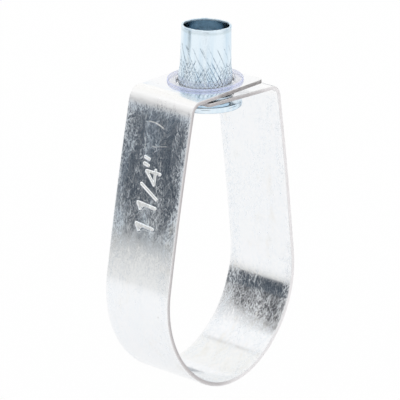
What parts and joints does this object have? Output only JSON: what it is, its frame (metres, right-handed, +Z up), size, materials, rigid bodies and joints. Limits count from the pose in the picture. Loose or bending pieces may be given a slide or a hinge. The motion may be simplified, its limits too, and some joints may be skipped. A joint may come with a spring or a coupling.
{
  "type": "swivel ring hanger",
  "caption": "Pear-shaped metal strap ring that hangs a pipe from a threaded rod, swivelling on a knurled flanged nut held by a clear plastic washer.",
  "frame": {"origin": "on the swivel axis, where the rod enters the nut's thread at the foot of the smooth mouth", "axes": "+Z up the hanger rod, +Y along the pipe that the ring carries, +X across the ring towards the leg with the lower tab"},
  "size_m": [0.0452, 0.0206, 0.0886],
  "materials": {
    "galvanised_strap": "bright galvanised sheet with fine scuffs, rolled and bent after coating",
    "bright_zinc": "bright blue-white zinc plating",
    "clear_plastic": "clear soft plastic with a lilac tint"
  },
  "bodies": {
    "nut": {"swivel_nut": "bright_zinc"},
    "washer": {"retaining_washer": "clear_plastic"},
    "ring": {"band": "galvanised_strap"}
  },
  "joints": [
    {"name": "ring_swivel", "type": "hinge", "parent": "nut", "child": "washer", "pos_m": [0, 0, 0], "axis": [0, 0, 1], "continuous": true},
    {"name": "ring_drop", "type": "slide", "parent": "washer", "child": "ring", "axis": [0, 0, 1], "range_m": [-0.0015, 0]}
  ]
}
